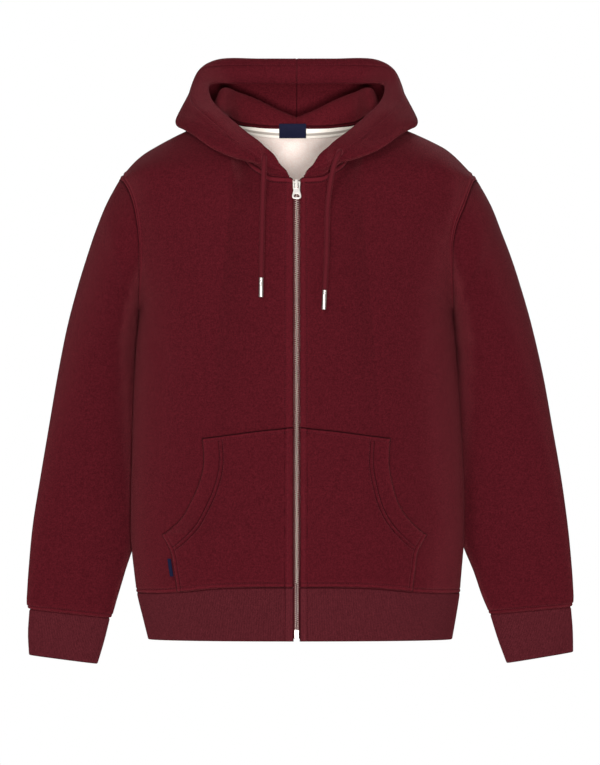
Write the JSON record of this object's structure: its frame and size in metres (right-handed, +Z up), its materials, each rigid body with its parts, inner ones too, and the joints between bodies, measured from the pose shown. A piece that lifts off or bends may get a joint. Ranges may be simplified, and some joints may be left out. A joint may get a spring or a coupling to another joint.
{
  "type": "zip up hoodie",
  "caption": "Zip-up hoodie in maroon sweatshirt fleece, filled out as worn: lined hood folded back, free drawcord ends, kangaroo pockets, ribbed cuffs and hem, metal zip with a turning pull.",
  "frame": {"origin": "base of the neck, midway between the shoulder seams, where the wearer's shoulders hold the garment", "axes": "+X to the right as one looks at the front, +Y from the front to the back, +Z up"},
  "size_m": [0.7403, 0.2931, 0.8194],
  "materials": {
    "fleece": "matt brushed sweatshirt jersey",
    "rib": "matt fine rib knit",
    "lining": "matt single jersey",
    "maroon_twill": "woven tape",
    "cream_twill": "woven herringbone tape",
    "navy_weave": "satin woven label",
    "bright_metal": "bright nickel plate"
  },
  "bodies": {
    "garment": {"front_left": "fleece", "front_right": "fleece", "back": "fleece", "sleeve_left": "fleece", "sleeve_right": "fleece", "pocket_left": "fleece", "pocket_right": "fleece", "hood_outer_left": "fleece", "hood_outer_right": "fleece", "drawcord_left": "fleece", "drawcord_right": "fleece", "hem_rib": "rib", "cuff_left": "rib", "cuff_right": "rib", "hood_lining_left": "lining", "hood_lining_right": "lining", "neck_tape": "cream_twill", "neck_label": "navy_weave", "side_tab": "navy_weave", "zip_tape_left": "maroon_twill", "zip_tape_right": "maroon_twill", "zip_chain": "bright_metal", "zip_slider": "bright_metal", "zip_box": "bright_metal", "cord_tip_left": "bright_metal", "cord_tip_right": "bright_metal"},
    "pull": {"zip_pull": "bright_metal"}
  },
  "joints": [
    {"name": "pull_hinge", "type": "hinge", "parent": "garment", "child": "pull", "pos_m": [0, -0.09664, -0.0727], "axis": [-1, 0, 0], "range_deg": [0, 165]}
  ]
}
